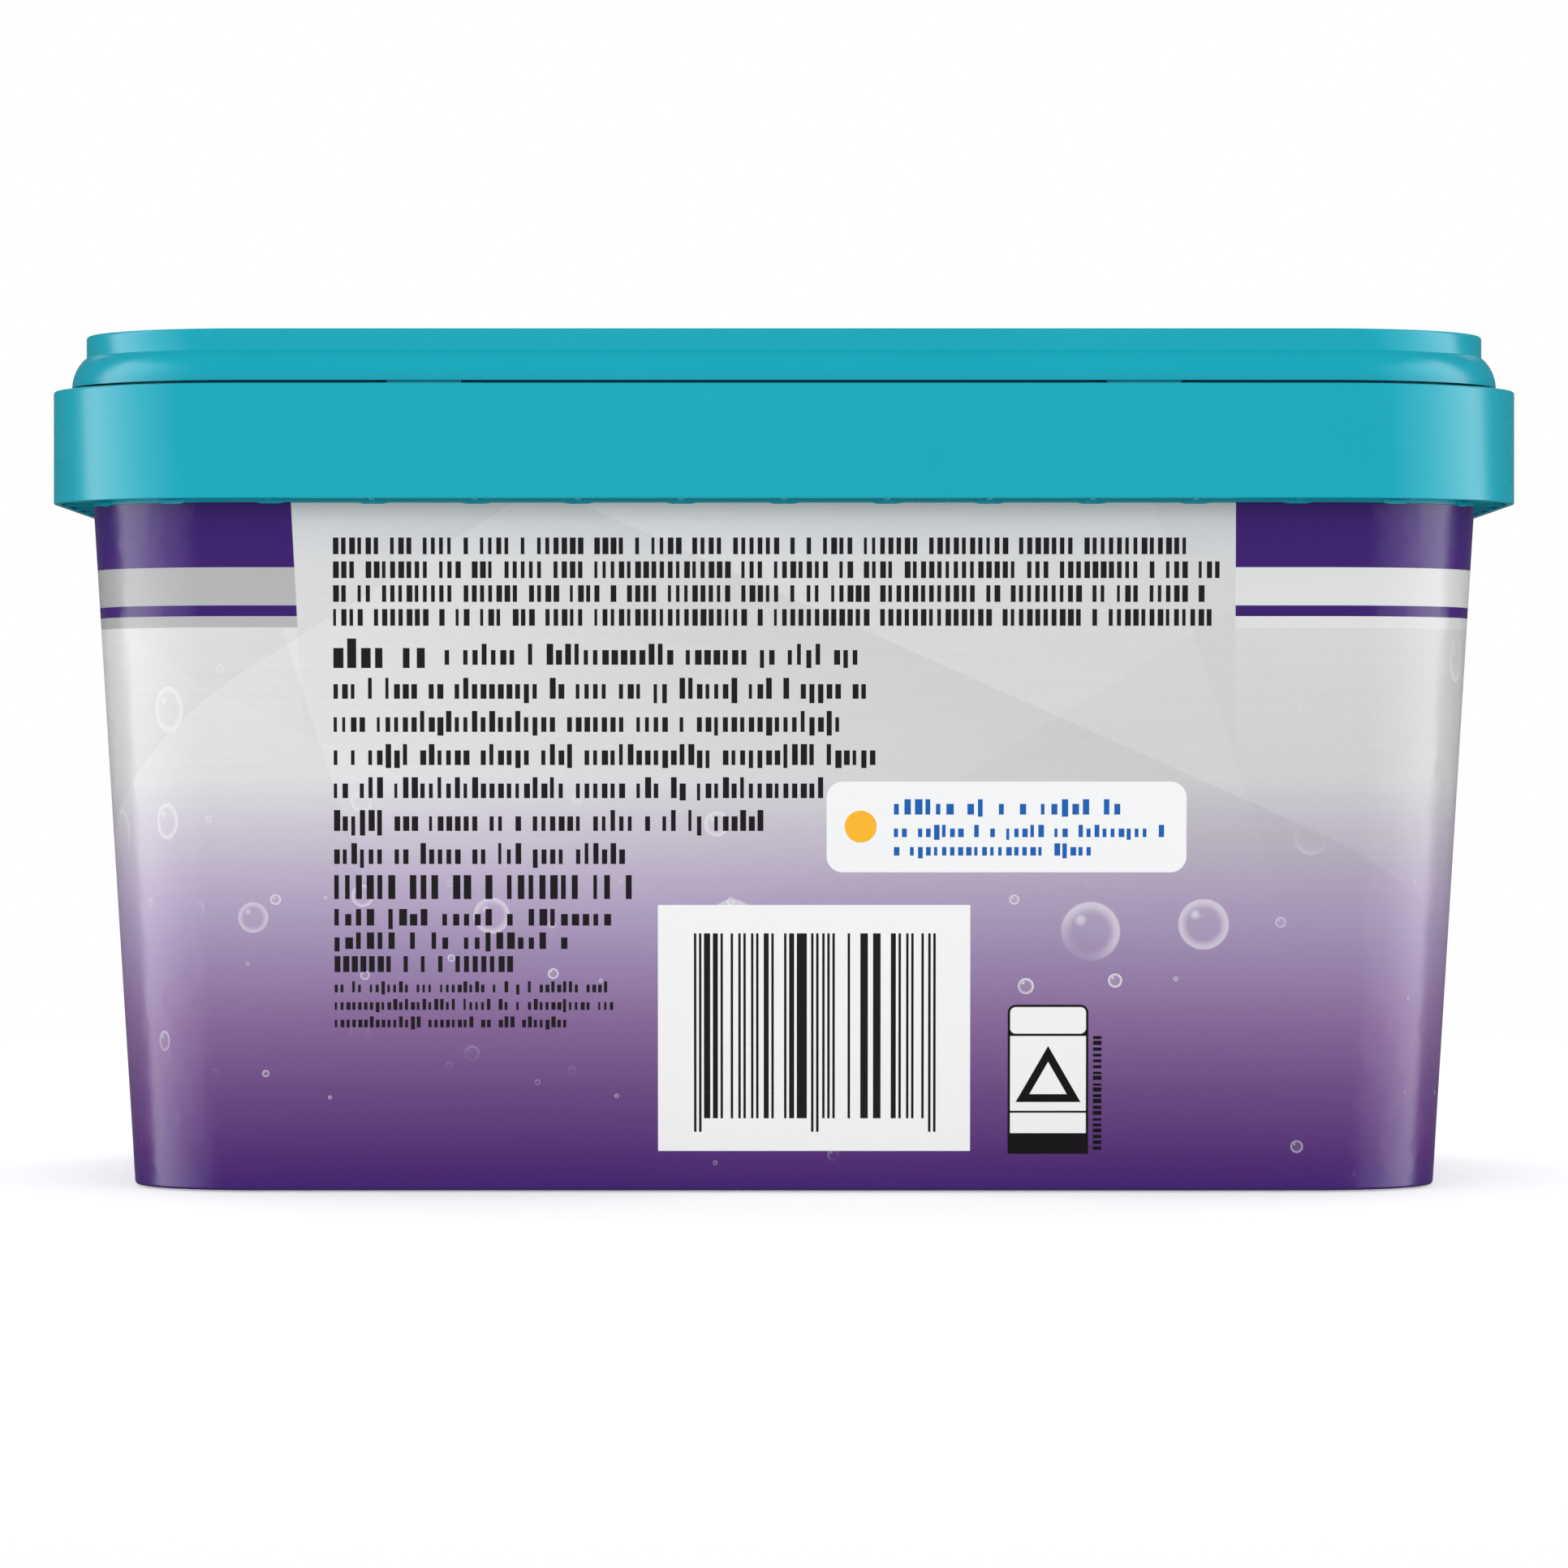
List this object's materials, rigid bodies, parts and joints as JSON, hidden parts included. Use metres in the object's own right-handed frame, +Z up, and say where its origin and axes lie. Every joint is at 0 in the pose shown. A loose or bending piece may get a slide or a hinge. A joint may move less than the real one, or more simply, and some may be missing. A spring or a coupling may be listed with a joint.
{
  "type": "dishwasher tablet tub",
  "caption": "Tapered rectangular plastic tub with rounded corners, a ribbed press-on collar, a hinged flip lid and dishwasher tablets inside.",
  "frame": {"origin": "middle of the tub's footprint, on the surface it stands on", "axes": "+Z up, X along the long side, +Y towards the thumb notch at the front; the lid's hinge and the pictured back panel face -Y"},
  "size_m": [0.241, 0.156, 0.1397],
  "materials": {
    "tub_label": "satin in-mould label, light grey fading to purple",
    "teal_collar": "satin moulded teal",
    "teal_lid": "satin moulded teal",
    "tablet_film": "clear film over pressed powder and coloured gel"
  },
  "bodies": {
    "tub": {"tub_body": "tub_label", "collar": "teal_collar", "tablet_01": "tablet_film", "tablet_02": "tablet_film", "tablet_03": "tablet_film", "tablet_04": "tablet_film", "tablet_05": "tablet_film", "tablet_06": "tablet_film", "tablet_07": "tablet_film", "tablet_08": "tablet_film", "tablet_09": "tablet_film", "tablet_10": "tablet_film", "tablet_11": "tablet_film", "tablet_12": "tablet_film", "tablet_13": "tablet_film", "tablet_14": "tablet_film", "tablet_15": "tablet_film", "tablet_16": "tablet_film", "tablet_17": "tablet_film", "tablet_18": "tablet_film", "tablet_19": "tablet_film", "tablet_20": "tablet_film", "tablet_21": "tablet_film", "tablet_22": "tablet_film", "tablet_23": "tablet_film", "tablet_24": "tablet_film", "tablet_25": "tablet_film", "tablet_26": "tablet_film", "tablet_27": "tablet_film", "tablet_28": "tablet_film", "tablet_29": "tablet_film", "tablet_30": "tablet_film", "tablet_31": "tablet_film", "tablet_32": "tablet_film", "tablet_33": "tablet_film", "tablet_34": "tablet_film", "tablet_35": "tablet_film", "tablet_36": "tablet_film", "tablet_37": "tablet_film", "tablet_38": "tablet_film", "tablet_39": "tablet_film", "tablet_40": "tablet_film", "tablet_41": "tablet_film", "tablet_42": "tablet_film", "tablet_43": "tablet_film", "tablet_44": "tablet_film", "tablet_45": "tablet_film", "tablet_46": "tablet_film", "tablet_47": "tablet_film", "tablet_48": "tablet_film", "tablet_49": "tablet_film", "tablet_50": "tablet_film", "tablet_51": "tablet_film", "tablet_52": "tablet_film", "tablet_53": "tablet_film", "tablet_54": "tablet_film"},
    "lid": {"lid": "teal_lid"}
  },
  "joints": [
    {"name": "lid_hinge", "type": "hinge", "parent": "tub", "child": "lid", "pos_m": [0, -0.0762, 0.1299], "axis": [1, 0, 0], "range_deg": [0, 95]}
  ]
}
